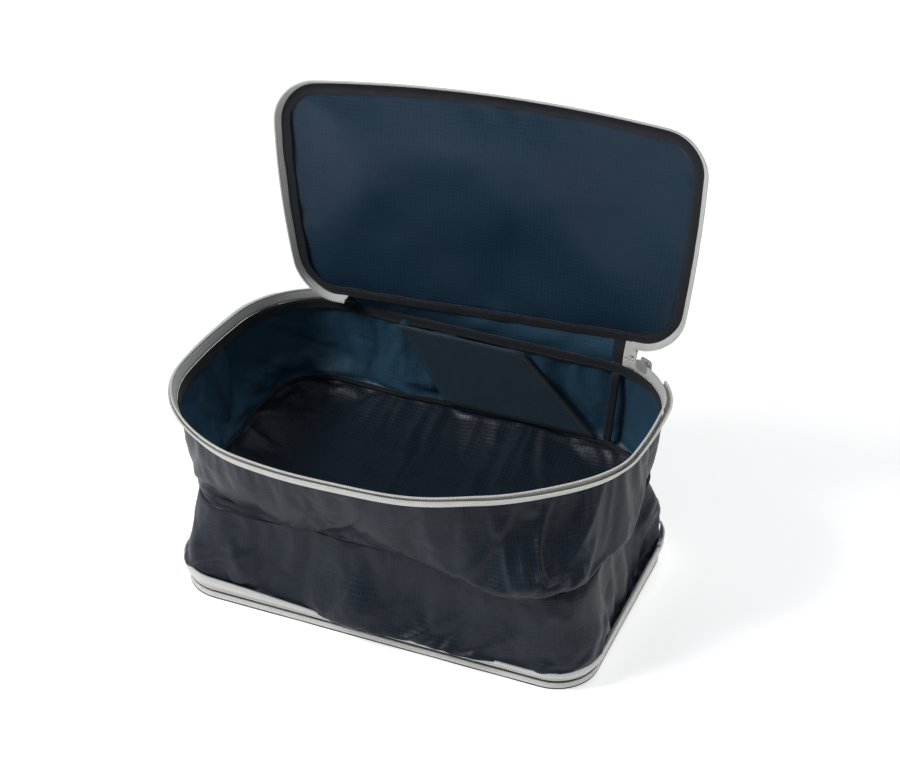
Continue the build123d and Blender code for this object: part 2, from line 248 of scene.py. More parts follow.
# Lets a sheet fold under its own weight between the points that hold it.
def settle(piece, held, cloth):
    before = coords(piece)
    group = piece.vertex_groups.new(name="held")
    for index in np.flatnonzero(held > 0):
        group.add([int(index)], float(held[index]), "REPLACE")
    modifier = piece.modifiers.new("cloth", "CLOTH")
    settings = modifier.settings
    settings.quality = cloth["quality"]
    settings.mass = cloth["mass"]
    settings.tension_stiffness = cloth["stiff"]
    settings.compression_stiffness = cloth["stiff"]
    settings.shear_stiffness = cloth["shear"]
    settings.bending_stiffness = cloth["bend"]
    settings.tension_damping = cloth["damping"]
    settings.compression_damping = cloth["damping"]
    settings.air_damping = cloth["air"]
    settings.shrink_min = -cloth["spare"]
    settings.vertex_group_mass = "held"
    settings.effector_weights.gravity = cloth["gravity"]
    modifier.collision_settings.use_collision = False
    modifier.point_cache.frame_start = 1
    modifier.point_cache.frame_end = cloth["frames"]
    for step in range(1, cloth["frames"] + 1):
        bpy.context.scene.frame_set(step)
    applied(piece)
    bpy.context.scene.frame_set(1)
    move = coords(piece) - before
    length = np.linalg.norm(move, axis=1, keepdims=True)
    limit = cloth["cap"] * np.tanh(length / cloth["cap"])  # no fold goes further than the cap
    setCoords(piece, before + move * limit / np.maximum(length, 1e-9))
    return piece


# A piece's materials, the body it rides on, and the CAD nodes that it stands for.
def finishPiece(piece, body, slot, materials, *nodes):
    for material in materials:
        piece.data.materials.append(material)
    if body:
        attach(piece, body)
    if nodes:
        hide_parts(*nodes)
    return piece


# An empty shader node group with float or colour sockets.
def nodeGroup(name, inputs, outputs):
    tree = bpy.data.node_groups.new(name, "ShaderNodeTree")
    for label, kind, value in inputs:
        socket = tree.interface.new_socket(label, in_out="INPUT", socket_type=kind)
        socket.default_value = value
    for label, kind in outputs:
        tree.interface.new_socket(label, in_out="OUTPUT", socket_type=kind)
    return tree, tree.nodes.new("NodeGroupInput"), tree.nodes.new("NodeGroupOutput")


# A maths node fed by numbers and sockets.
def maths(tree, operation, *values):
    node = tree.nodes.new("ShaderNodeMath")
    node.operation = operation
    for index, value in enumerate(values):
        if isinstance(value, (int, float)):
            node.inputs[index].default_value = value
        else:
            tree.links.new(value, node.inputs[index])
    return node.outputs[0]


# Rounded ridges along a coordinate, 0 between them and 1 on them.
def stripes(tree, coordinate, pitch, sharp):
    turn = maths(tree, "MULTIPLY", coordinate, 2 * math.pi / pitch)
    ridge = maths(tree, "MULTIPLY_ADD", maths(tree, "SINE", turn), 0.5, 0.5)
    return maths(tree, "POWER", ridge, sharp)


# Metres along and across the cloth.
def cutCoordinates(tree):
    uv = tree.nodes.new("ShaderNodeUVMap")
    uv.uv_map = "cut"
    split = tree.nodes.new("ShaderNodeSeparateXYZ")
    tree.links.new(uv.outputs[0], split.inputs[0])
    return split.outputs[0], split.outputs[1]


# A colour between two others.
def mixed(tree, factor, first, second):
    node = tree.nodes.new("ShaderNodeMix")
    node.data_type = "RGBA"
    for socket, value in ((node.inputs[0], factor), (node.inputs[6], first), (node.inputs[7], second)):
        if isinstance(value, (int, float, tuple)):
            socket.default_value = value
        else:
            tree.links.new(value, socket)
    return node.outputs[2]


# Soft noise that stays with the piece.
def cloudy(tree, scale, detail):
    place = tree.nodes.new("ShaderNodeTexCoord")
    cloud = tree.nodes.new("ShaderNodeTexNoise")
    cloud.inputs["Scale"].default_value = scale
    cloud.inputs["Detail"].default_value = detail
    tree.links.new(place.outputs["Object"], cloud.inputs["Vector"])
    return cloud.outputs[0]


ripstopWeave = {
    "gridPitch": 3.1 * mm,
    "gridSharp": 14,
    "finePitch": 0.62 * mm,
    "blotches": 45,
    "fineBlotches": 260,
    "roughness": 0.28,
}


# Fine plain weave with a heavier thread every few millimetres both ways, and faint creases.
def ripstopGroup():
    colour = "NodeSocketColor"
    number = "NodeSocketFloat"
    tree, enter, leave = nodeGroup(
        "ripstop cloth",
        [("Cloth", colour, (0, 0, 0, 1)), ("Thread", colour, (0, 0, 0, 1)), ("Crease", number, 1.0)],
        [("Color", colour), ("Roughness", number), ("Height", number)],
    )
    u, v = cutCoordinates(tree)
    pitch, sharp, thin = (ripstopWeave[key] for key in ("gridPitch", "gridSharp", "finePitch"))
    grid = maths(tree, "MAXIMUM", stripes(tree, u, pitch, sharp), stripes(tree, v, pitch, sharp))
    weave = maths(tree, "MULTIPLY", stripes(tree, u, thin, 1), stripes(tree, v, thin, 1))
    blotch = cloudy(tree, ripstopWeave["blotches"], 3)
    fine = cloudy(tree, ripstopWeave["fineBlotches"], 2)
    shade = maths(tree, "MULTIPLY_ADD", grid, 0.6, maths(tree, "MULTIPLY", blotch, 0.35))
    tree.links.new(mixed(tree, shade, enter.outputs[0], enter.outputs[1]), leave.inputs[0])
    rough = maths(tree, "MULTIPLY_ADD", blotch, 0.18, ripstopWeave["roughness"])
    tree.links.new(maths(tree, "MULTIPLY_ADD", grid, 0.08, rough), leave.inputs[1])
    creases = maths(tree, "ADD", blotch, maths(tree, "MULTIPLY", fine, 0.3))
    creases = maths(tree, "MULTIPLY", creases, enter.outputs[2])
    threads = maths(tree, "MULTIPLY_ADD", grid, 0.14, maths(tree, "MULTIPLY", weave, 0.05))
    tree.links.new(maths(tree, "ADD", creases, threads), leave.inputs[2])
    return tree


tapeWeave = {
    "ribPitch": 1.1 * mm,
    "pickPitch": 1.7 * mm,
    "stitchPitch": 2.6 * mm,
    "stitchGap": 0.28,
    "stitchPlace": 0.62,  # share of the way from the tape's middle to its edge
    "stitchThick": 0.28 * mm,
    "blotches": 90,
    "roughness": 0.62,
}


# Narrow woven tape: ribs along it, picks across it, and a row of stitches near each edge.
def tapeGroup():
    colour = "NodeSocketColor"
    number = "NodeSocketFloat"
    tree, enter, leave = nodeGroup(
        "woven tape",
        [("Tape", colour, (0, 0, 0, 1)), ("Thread", colour, (0, 0, 0, 1)), ("Width", number, 8 * mm)],
        [("Color", colour), ("Roughness", number), ("Height", number)],
    )
    u, v = cutCoordinates(tree)
    ribs = stripes(tree, v, tapeWeave["ribPitch"], 1)
    picks = stripes(tree, u, tapeWeave["pickPitch"], 1)
    dash = maths(tree, "GREATER_THAN", stripes(tree, u, tapeWeave["stitchPitch"], 1), tapeWeave["stitchGap"])
    middle = maths(tree, "MULTIPLY", enter.outputs[2], 0.5)
    offset = maths(tree, "ABSOLUTE", maths(tree, "SUBTRACT", v, middle))
    place = maths(tree, "MULTIPLY", middle, tapeWeave["stitchPlace"])
    line = maths(tree, "ABSOLUTE", maths(tree, "SUBTRACT", offset, place))
    row = maths(tree, "LESS_THAN", line, tapeWeave["stitchThick"])
    stitch = maths(tree, "MULTIPLY", row, dash)
    blotch = cloudy(tree, tapeWeave["blotches"], 3)
    weave = maths(tree, "MULTIPLY", maths(tree, "MAXIMUM", picks, ribs), 0.45)
    shade = maths(tree, "MULTIPLY_ADD", stitch, 0.5, maths(tree, "MULTIPLY_ADD", blotch, 0.2, weave))
    tree.links.new(mixed(tree, shade, enter.outputs[0], enter.outputs[1]), leave.inputs[0])
    tree.links.new(maths(tree, "MULTIPLY_ADD", blotch, 0.2, tapeWeave["roughness"]), leave.inputs[1])
    relief = maths(tree, "MULTIPLY_ADD", ribs, 0.25, maths(tree, "MULTIPLY", picks, 0.15))
    relief = maths(tree, "ADD", relief, maths(tree, "MULTIPLY", blotch, 0.8))
    tree.links.new(maths(tree, "MULTIPLY_ADD", row, -0.5, relief), leave.inputs[2])
    return tree


moulded = {"coarse": 160, "fine": 1800, "roughness": 0.32}


# Moulded nylon or paint: faint mottling in colour and gloss.
def plasticGroup():
    colour = "NodeSocketColor"
    number = "NodeSocketFloat"
    tree, enter, leave = nodeGroup(
        "mottled finish",
        [("Base", colour, (0, 0, 0, 1)), ("Worn", colour, (0, 0, 0, 1)), ("Grain", number, 1.0)],
        [("Color", colour), ("Roughness", number), ("Height", number)],
    )
    coarse = cloudy(tree, moulded["coarse"], 3)
    fine = cloudy(tree, moulded["fine"], 2)
    tree.links.new(mixed(tree, coarse, enter.outputs[0], enter.outputs[1]), leave.inputs[0])
    tree.links.new(maths(tree, "MULTIPLY_ADD", coarse, 0.25, moulded["roughness"]), leave.inputs[1])
    tree.links.new(maths(tree, "MULTIPLY", fine, enter.outputs[2]), leave.inputs[2])
    return tree


# A material whose colour, roughness and bump come from one of the groups.
def surface(name, group, values, bump, shader):
    material = bpy.data.materials.new(name)
    material.use_nodes = True
    tree = material.node_tree
    principled = tree.nodes["Principled BSDF"]
    for label, value in shader.items():
        principled.inputs[label].default_value = value
    finish = tree.nodes.new("ShaderNodeGroup")
    finish.node_tree = group
    for label, value in values.items():
        finish.inputs[label].default_value = value
    relief = tree.nodes.new("ShaderNodeBump")
    relief.inputs["Strength"].default_value = 1.0
    relief.inputs["Distance"].default_value = bump
    tree.links.new(finish.outputs["Color"], principled.inputs["Base Color"])
    tree.links.new(finish.outputs["Roughness"], principled.inputs["Roughness"])
    tree.links.new(finish.outputs["Height"], relief.inputs["Height"])
    tree.links.new(relief.outputs[0], principled.inputs["Normal"])
    material.diffuse_color = next(iter(values.values()))
    return material


ripstop = ripstopGroup()
woven = tapeGroup()
mottled = plasticGroup()
clothShader = {"Specular IOR Level": 0.24}
charcoal = surface(
    "charcoal ripstop",
    ripstop,
    {"Cloth": (0.0070, 0.0125, 0.0215, 1), "Thread": (0.0135, 0.0215, 0.034, 1), "Crease": 1.1},
    0.45 * mm,
    clothShader,
)
navy = surface(
    "navy ripstop",
    ripstop,
    {"Cloth": (0.0085, 0.027, 0.052, 1), "Thread": (0.016, 0.043, 0.076, 1), "Crease": 0.8},
    0.45 * mm,
    clothShader,
)
# The inside face is the same navy ripstop with painted light in its colour: made brighter to stand in for
# daylight coming through the wall behind it.
paintedLitLining = surface(
    "navy lining",
    ripstop,
    {"Cloth": (0.023, 0.062, 0.105, 1), "Thread": (0.034, 0.082, 0.132, 1), "Crease": 1.0},
    0.45 * mm,
    clothShader,
)
sheer = surface(
    "sheer grey cloth",
    ripstop,
    {"Cloth": (0.034, 0.056, 0.076, 1), "Thread": (0.050, 0.074, 0.098, 1), "Crease": 0.8},
    0.4 * mm,
    {"Alpha": 0.6, "Specular IOR Level": 0.3},
)
blackTape = surface(
    "black binding",
    woven,
    {"Tape": (0.0055, 0.0075, 0.0115, 1), "Thread": (0.016, 0.019, 0.026, 1), "Width": 8 * mm},
    0.3 * mm,
    {"Sheen Weight": 0.15, "Specular IOR Level": 0.3},
)
greyTape = surface(
    "grey zip tape",
    woven,
    {"Tape": (0.50, 0.50, 0.48, 1), "Thread": (0.86, 0.86, 0.83, 1), "Width": 7 * mm},
    0.2 * mm,
    {"Sheen Weight": 0.1, "Specular IOR Level": 0.3},
)
greyCoil = surface(
    "grey zip coil",
    mottled,
    {"Base": (0.66, 0.66, 0.63, 1), "Worn": (0.76, 0.76, 0.73, 1), "Grain": 0.3},
    0.05 * mm,
    {"Specular IOR Level": 0.45},
)
greyPaint = surface(
    "grey slider paint",
    mottled,
    {"Base": (0.36, 0.36, 0.35, 1), "Worn": (0.46, 0.46, 0.45, 1), "Grain": 1.0},
    0.12 * mm,
    {"Specular IOR Level": 0.5, "Coat Weight": 0.2},
)
greyPull = surface(
    "grey pull",
    mottled,
    {"Base": (0.40, 0.40, 0.39, 1), "Worn": (0.48, 0.48, 0.47, 1), "Grain": 0.8},
    0.1 * mm,
    {"Specular IOR Level": 0.45},
)
print("materials made")


studio = {
    "azimuth": 22.67,
    "elevation": 36.0,
    "far": 1.813,
    "aim": Vector((0, 0, 0.112)),
    "lens": 100,
    "sensor": 36,
    "shift": (0.0271, 0.0656),
    "floorSize": 8,
    "paper": (0.93, 0.93, 0.93, 1),
    "paperRoughness": 0.9,
    "paperGloss": 0.1,
    "paperGlow": 0.47,
    "sky": (0.93, 0.97, 1, 1),
    "skyLight": 0.2,
    "backdrop": 1.0,
    "lampAim": Vector((0, 0, 0.12)),
    "lamps": (
        {"name": "key", "at": (-1.5, -1.1, 1.9), "power": 42, "size": 0.8},
        {"name": "top", "at": (0.3, 0.9, 2.0), "power": 14, "size": 1.2},
        {"name": "right rim", "at": (1.9, 0.9, 0.8), "power": 5, "size": 0.8},
    ),
}


def buildCamera():
    az, el = math.radians(studio["azimuth"]), math.radians(studio["elevation"])
    away = Vector((math.sin(az) * math.cos(el), -math.cos(az) * math.cos(el), math.sin(el)))
    lens = bpy.data.cameras.new("camera")
    lens.lens = studio["lens"]
    lens.sensor_width = studio["sensor"]
    lens.shift_x, lens.shift_y = studio["shift"]
    camera = bpy.data.objects.new("camera", lens)
    camera.location = studio["aim"] + away * studio["far"]
    camera.rotation_euler = away.to_track_quat("Z", "Y").to_euler()
    bpy.context.scene.collection.objects.link(camera)
    bpy.context.scene.camera = camera
    bpy.context.scene.view_settings.view_transform = "Standard"


# White paper that glows a little, so that it stays white but still takes the bag's shadow.
def buildFloor():
    bpy.ops.mesh.primitive_plane_add(size=studio["floorSize"], location=(0, 0, 0))
    floor = bpy.context.object
    floor.name = "floor"
    material = bpy.data.materials.new("studio floor")
    material.use_nodes = True
    paper = material.node_tree.nodes["Principled BSDF"]
    paper.inputs["Base Color"].default_value = studio["paper"]
    paper.inputs["Roughness"].default_value = studio["paperRoughness"]
    paper.inputs["Specular IOR Level"].default_value = studio["paperGloss"]
    paper.inputs["Emission Color"].default_value = (1, 1, 1, 1)
    paper.inputs["Emission Strength"].default_value = studio["paperGlow"]
    floor.data.materials.append(material)


# The backdrop is bright where it is seen, and gives the bag only a soft fill.
def buildLight():
    world = bpy.data.worlds.new("studio")
    world.use_nodes = True
    sky = world.node_tree.nodes["Background"]
    sky.inputs[0].default_value = studio["sky"]
    rays = world.node_tree.nodes.new("ShaderNodeLightPath")
    seen = rays.outputs["Is Camera Ray"]
    level = maths(world.node_tree, "MULTIPLY_ADD", seen, studio["backdrop"], studio["skyLight"])
    world.node_tree.links.new(level, sky.inputs[1])
    bpy.context.scene.world = world
    for lamp in studio["lamps"]:
        light = bpy.data.lights.new(lamp["name"], "AREA")
        light.energy = lamp["power"]
        light.size = lamp["size"]
        holder = bpy.data.objects.new(lamp["name"], light)
        holder.location = lamp["at"]
        aim = Vector(lamp["at"]) - studio["lampAim"]
        holder.rotation_euler = aim.to_track_quat("Z", "Y").to_euler()
        bpy.context.scene.collection.objects.link(holder)


buildCamera()
buildFloor()
buildLight()
print("studio made")


# Places of points on the lid. flat holds x and minus the distance up from the hinge edge.
def lidPoints(flat, inward=0.0):
    flat = np.asarray(flat, float)
    rise = -flat[..., 1]
    deep = -lidPlan["front"]
    share = np.clip(rise / deep, 0, 1)
    x = flat[..., 0] * (1 - lidStance["gather"] * (1 - share))
    c, s = math.cos(lidStance["roll"]), math.sin(lidStance["roll"])
    x, rise = c * x + s * rise, c * rise - s * x
    inward = inward + lidStance["curl"] * 4 * share * (1 - share)
    c, s = math.cos(lidStance["lean"]), math.sin(lidStance["lean"])
    y, z = rise * s - inward * c, rise * c + inward * s
    c, s = math.cos(lidStance["yaw"]), math.sin(lidStance["yaw"])
    shiftX, shiftY, shiftZ = lidStance["shift"]
    return np.stack(
        [x * c - y * s + shiftX, x * s + y * c + hingeY + shiftY, z + hingeZ + shiftZ],
        axis=-1,
    )


toothShape = {
    "pitch": 1.7 * mm,
    "long": 0.5 * mm,
    "cord": (0.55 * mm, 0.7 * mm),
    "cordIn": 0.2 * mm,
    "cordSides": 6,
    "section": ((-1.3, -0.5), (0.1, -0.85), (0.9, -0.4), (0.9, 0.4), (0.1, 0.85), (-1.3, 0.5)),
}
zipCount = 420  # points round a zip or a binding
tapeThick = 0.8 * mm
coilRadius = 0.9 * mm


# Even places along an edge, with the directions along it, out of it and across its face.
def framesAlong(edge, inside, pitch):
    length = np.linalg.norm(np.diff(edge, axis=0), axis=1).sum()
    count = max(int(length / pitch), 2)
    places = evenly(edge, count, False)
    roots = evenly(inside, count, False)
    along = np.gradient(places, axis=0)
    along /= np.linalg.norm(along, axis=1, keepdims=True)
    out = places - roots
    out -= along * (out * along).sum(axis=1, keepdims=True)
    out /= np.linalg.norm(out, axis=1, keepdims=True)
    return places, along, out, np.cross(along, out)


# The coil's teeth along a tape's edge, over the cord that they are sewn round.
def coilMesh(name, edge, inside):
    places, along, out, face = framesAlong(edge, inside, toothShape["pitch"])
    section = np.array(toothShape["section"]) * mm
    sides = len(section)
    flat = out[:, None] * section[None, :, :1] + face[:, None] * section[None, :, 1:]
    long = toothShape["long"]
    ends = [places[:, None] + flat + along[:, None] * reach for reach in (-long, long)]
    vertices = np.concatenate(ends, axis=1).reshape(-1, 3)
    faces = []
    for tooth in range(len(places)):
        first = tooth * 2 * sides
        for k in range(sides):
            after = (k + 1) % sides
            faces.append((first + k, first + after, first + sides + after, first + sides + k))
        faces.append(tuple(range(first + sides, first + 2 * sides)))
        faces.append(tuple(range(first + sides - 1, first - 1, -1)))
    base = len(vertices)
    cordSides = toothShape["cordSides"]
    turn = np.linspace(0, 2 * math.pi, cordSides, endpoint=False)
    ringOut = out[:, None] * (toothShape["cord"][0] * np.cos(turn))[None, :, None]
    ringFace = face[:, None] * (toothShape["cord"][1] * np.sin(turn))[None, :, None]
    cord = (places[:, None] + ringOut + ringFace - out[:, None] * toothShape["cordIn"]).reshape(-1, 3)
    for ring in range(len(places) - 1):
        for k in range(cordSides):
            low, high = base + ring * cordSides + k, base + ring * cordSides + (k + 1) % cordSides
            faces.append((low, high, high + cordSides, low + cordSides))
    mesh = bpy.data.meshes.new(name)
    mesh.from_pydata(np.vstack([vertices, cord]).tolist(), [], faces)
    piece = bpy.data.objects.new(name, mesh)
    bpy.context.collection.objects.link(piece)
    return piece


# A zip's tape, from its seam to its edge, and the coil on that edge.
def zipHalf(name, rows, body, tapeNode, coilNode):
    rows = np.asarray(rows)
    tape = gridMesh(name + "_woven", rows)
    thicken(tape, tapeThick, offset=0.0, levels=1)
    finishPiece(tape, body, "grey_zip_tape", (greyTape,), tapeNode)
    out = rows[-1] - rows[-2]
    out /= np.linalg.norm(out, axis=1, keepdims=True)
    coil = coilMesh(name + "_teeth", rows[-1] + out * coilRadius, rows[-1] - out * coilRadius)
    finishPiece(coil, body, "grey_zip_coil", (greyCoil,), coilNode)
    return tape, coil


rimStance = {
    "dip": -4 * mm,
    "waver": 0.8 * mm,
    "waverSize": 0.11,
    "splay": 4 * mm,
    "reach": 60 * mm,
    "pulls": (
        {"at": (-160, 0), "move": (-8, -5)},
        {"at": (-140, -75), "move": (-11, -4)},
        {"at": (-60, -106), "move": (2, -11)},
        {"at": (30, -106), "move": (0, -8)},
        {"at": (110, -90), "move": (-9, 17)},
        {"at": (158, -40), "move": (-3, 12)},
    ),
}


# From 0 at the hinge side to 1 at the front.
def towardsFront(row):
    return np.clip((rimPlan["back"] - row[:, 1]) / (rimPlan["back"] - rimPlan["front"]), 0, 1)


# The soft rim is pulled out of its plan in places, dips at the front, and wavers.
def rimShape(row):
    start = row
    row = row.copy()
    waver = rimStance["waver"] * wave(start, rimStance["waverSize"], 5)
    row[:, 2] += rimStance["dip"] * towardsFront(start) ** 2 + waver
    for pull in rimStance["pulls"]:
        gap = start[:, :2] - np.array(pull["at"]) * mm
        share = np.exp(-(gap**2).sum(axis=1) / rimStance["reach"] ** 2)
        row[:, :2] += share[:, None] * np.array(pull["move"]) * mm
    return row


# Leans the lid zip's half outwards at the front, against the compression zip beside it.
def splayed(row, rise):
    row = row.copy()
    centre = row[:, :2] / np.linalg.norm(row[:, :2], axis=1, keepdims=True)
    row[:, :2] += centre * (rimStance["splay"] * rise * towardsFront(row) ** 0.7)[:, None]
    return row


# The lower wall hangs over the foot zip at one place, and presses its tape down on its web there.
# The cloth moves out and up by the millimetres given at shares of its height.
overFoot = {
    "place": (0.04, basePlan["front"]),
    "spread": 0.13,
    "strength": 1.45,
    "web": 12.4 * mm,
    "press": 0.8,
    "shares": (0, 0.06, 0.14, 0.25, 0.4, 0.6, 1),
    "out": (0, 6, 8.5, 9, 7.5, 3, 0),
    "up": (0, -3, -6, -8, -7, -3, 0),
    "hemGap": 0.7 * mm,
    "tuck": 1.4 * mm,
    "softness": 2.5 * mm,
    "waver": 0.10,
    "waverSize": 0.04,
}


# How far the lower wall hangs over the foot zip, from 0 to 1.
def hangsOver(row):
    return np.clip(overFoot["strength"] * near(row, *overFoot["place"], overFoot["spread"]), 0, 1)


# The height of a part of the foot zip, pressed down where the wall hangs over it.
def pressed(row, height):
    web = overFoot["web"]
    return web + (height - web) * (1 - overFoot["press"] * hangsOver(row))


# A row of the foot zip, pressed down.
def footShape(row):
    row = row.copy()
    row[:, 2] = pressed(row, row[:, 2])
    return row


# Which points of a ring are left when it is open at the hinge side.
def openAt(row, half, ahead, shift=0.0):
    return np.flatnonzero((np.abs(row[:, 0] - shift) > half) | (row[:, 1] < ahead))


# Rows round a plan, one for each (grow, height), open at the back.
def ringStack(plan, levels, half, ahead, shift=0.0, shape=None):
    rows = [ringRow(plan, zipCount, grow, height) for grow, height in levels]
    kept = openAt(rows[0], half, ahead, shift)
    rows = [row[kept] for row in rows]
    return [shape(row) for row in rows] if shape else rows


# Each row of a tape stands so far out of its plan, and then so high: above the rim's seam at the rim, above
# the floor at the foot, and in from the cloth at the lid. The rim's and the lid's are in millimetres.
# A zip is open at the back: within half of the middle, and behind the line called ahead.
lidZipRim = {"grow": -0.5 * mm, "shares": (0, 0.5, 1)}
lidZipLid = {"rows": ((-1.0, 0.4), (0.2, 2.8), (2.2, 5.8)), "ahead": -0.01}
compressionZipRim = {"rows": ((0.6, -1.2), (2.6, 1.6), (5.0, 5.2)), "half": 0.149, "ahead": 0.073}
compressionZipFoot = {
    "rows": ((0.2 * mm, overFoot["web"]), (2.4 * mm, 13 * mm), (3.2 * mm, 15 * mm), (3.1 * mm, footTapeTop)),
    "half": 0.152,
    "ahead": 0.073,
}
bottomZip = {"grow": -0.5 * mm, "half": 0.088, "ahead": 0.0}


def buildRimZips():
    shares = lidZipRim["shares"]
    levels = [(lidZipRim["grow"], rimZ + (rimTapeTop - rimZ) * share) for share in shares]
    rows = ringStack(rimPlan, levels, tabEnd, 0, hingeShift, rimShape)
    rows = [splayed(row, share) for row, share in zip(rows, shares)]
    zipHalf("lid_zip_rim", rows, "rim", "lid_zip_rim_tape", "lid_zip_rim_coil")

    make = compressionZipRim
    levels = [(grow * mm, rimZ + rise * mm) for grow, rise in make["rows"]]
    rows = ringStack(rimPlan, levels, make["half"], make["ahead"], 0, rimShape)
    zipHalf("compression_zip_rim", rows, "rim", "compression_zip_rim_tape", "compression_zip_rim_coil")


def buildFootZips():
    make = compressionZipFoot
    name = "compression_zip_foot"
    rows = ringStack(basePlan, make["rows"], make["half"], make["ahead"], shape=footShape)
    zipHalf(name, rows, "lower_frame", name + "_tape", name + "_coil")

    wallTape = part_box("bottom_zip_wall_tape")
    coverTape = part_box("bottom_zip_cover_tape")
    halves = (
        ("bottom_zip_wall", "lower_frame", wallTape[1][2], wallTape[0][2]),
        ("bottom_zip_cover", "bottom_cover", coverTape[0][2], coverTape[1][2]),
    )
    for name, body, seam, edge in halves:
        levels = [(bottomZip["grow"], height) for height in (seam, edge)]
        rows = ringStack(basePlan, levels, bottomZip["half"], bottomZip["ahead"])
        zipHalf(name, rows, body, name + "_tape", name + "_coil")


def buildLidZip():
    rows = []
    kept = openAt(outline(lidPlan, zipCount), tabEnd / (1 - lidStance["gather"]), lidZipLid["ahead"])
    for grow, inward in lidZipLid["rows"]:
        flat = outline(lidPlan, zipCount, grow * mm)[kept]
        rows.append(lidPoints(flat, inward * mm))
    zipHalf("lid_zip_lid", rows, "lid", "lid_zip_lid_tape", "lid_zip_lid_coil")


buildRimZips()
buildFootZips()
buildLidZip()
print("zips made")


aroundCount = 300
tierRows = 22
clothThick = 0.4 * mm
wallShape = {
    "footIn": 0.8 * mm,
    "rimIn": 1.0 * mm,
    "lowSwell": (2.5 * mm, 3 * mm, 0.07),  # mean, change and size of its waver
    "highSwell": (4 * mm, 4 * mm, 0.09),
    "bulge": 15 * mm,
    "bulgeAt": (0.10, seamPlan["front"]),
    "bulgeSize": 0.07,
    "folds": 5.5 * mm,
    "foldSize": 0.055,
    "creases": 4.5 * mm,
    "creaseSize": 0.036,
    "slant": 0.9,
    "stretch": (0.4, 0.45),
    "round": 150 * mm,  # a usual distance from the bag's middle to its wall
    "peaks": (0.8, 0.45),
}
wallCloth = {
    "quality": 6,
    "mass": 0.012,
    "stiff": 12,
    "shear": 3,
    "bend": 0.25,
    "damping": 5,
    "air": 1.0,
    "spare": 0.035,
    "gravity": 1.0,
    "frames": 30,
    "cap": 20 * mm,
}
midSeam = {
    "waver": 3.0 * mm,
    "waverSize": 0.06,
    "rise": 2.6 * mm,
    "riseSize": 0.05,
    "dent": 9 * mm,
    "dentAt": (0.15, 0.05),
    "dentSize": 0.07,
}


# The directions out of a closed ring, level with the floor.
def outOf(ring):
    along = np.gradient(np.vstack([ring[-1:], ring, ring[:1]])[:, :2], axis=0)[1:-1]
    out = np.stack([along[:, 1], -along[:, 0]], axis=1)
    return out / np.linalg.norm(out, axis=1, keepdims=True)


# Noise whose folds run aslant down a wall.
def slanted(row, size, seed):
    turn = np.arctan2(row[:, 1], row[:, 0])
    aslant = turn * wallShape["round"] - wallShape["slant"] * row[:, 2]
    deep, high = wallShape["stretch"]
    return wave(np.column_stack([aslant, row[:, 1] * deep, row[:, 2] * high]), size, seed)


# Rows between two rings, swelling outwards by the belly that each column has, with slack folds.
def profileRows(lowRow, highRow, count, belly, peak, seed):
    out = outOf(highRow)
    rows = []
    for step in np.linspace(0, 1, count):
        row = lowRow * (1 - step) + highRow * step
        folds = wallShape["folds"] * slanted(row, wallShape["foldSize"], seed)
        folds = folds - wallShape["creases"] * np.abs(slanted(row, wallShape["creaseSize"], seed + 1))
        row[:, :2] += out * ((belly + folds) * math.sin(math.pi * step**peak))[:, None]
        rows.append(row)
    return np.array(rows)


# The mid seam: drawn in by the divider, and never quite straight.
def seamRow(count):
    row = ringRow(seamPlan, count, 0, seamZ)
    centre = row[:, :2] / np.linalg.norm(row[:, :2], axis=1, keepdims=True)
    row[:, :2] += centre * (midSeam["waver"] * wave(row, midSeam["waverSize"], 1))[:, None]
    row[:, 2] += midSeam["rise"] * wave(row, midSeam["riseSize"], 2)
    row[:, 0] -= midSeam["dent"] * near(row, *midSeam["dentAt"], midSeam["dentSize"])
    return row


# Hangs the middle of the lower wall's front over the foot zip. Cloth below the hem stays inside the tape.
def drape(piece, foot):
    places = coords(piece).reshape(tierRows, aroundCount, 3)
    amount = hangsOver(foot) * (1 + overFoot["waver"] * wave(foot, overFoot["waverSize"], 21))
    hem = pressed(foot, footTapeTop) + overFoot["hemGap"]
    out = outOf(foot)
    shares = overFoot["shares"]
    for index, share in enumerate(np.linspace(0, 1, tierRows)):
        reach = np.sqrt(amount) * np.interp(share, shares, np.array(overFoot["out"]) * mm)
        rise = amount * np.interp(share, shares, np.array(overFoot["up"]) * mm)
        height = places[index, :, 2]
        inside = np.clip((hem - height) / overFoot["softness"] + 0.5, 0, 1)
        gap = ((places[index, :, :2] - foot[:, :2]) * out).sum(axis=1) + reach
        caught = np.clip(gap - overFoot["tuck"], 0, None) * inside
        places[index, :, :2] += out * (reach - caught)[:, None]
        places[index, :, 2] = np.maximum(height + rise, np.minimum(height, hem))
    setCoords(piece, places)


# How far a tier swells at each point of a ring.
def swelling(row, swell, seed):
    mean, change, size = swell
    return mean + change * wave(row, size, seed)


# One tier of the wall: navy inside, its colour brightened with painted light, charcoal outside, held by the
# seams at its two ends.
def buildTier(name, low, high, swell, peak, seed, body, node):
    rows = profileRows(low, high, tierRows, swell, peak, seed)
    piece = gridMesh(name, rows, closed=True)
    held = np.zeros(rows.shape[:2])
    held[0] = 1
    held[-1] = 1
    settle(piece, held.ravel(), wallCloth)
    if node == "lower_wall":
        drape(piece, low)
    piece.data.materials.append(charcoal)
    piece.data.materials.append(paintedLitLining)
    thicken(piece, clothThick, inner=True, levels=1)
    return finishPiece(piece, body, "charcoal_shell", (), node)


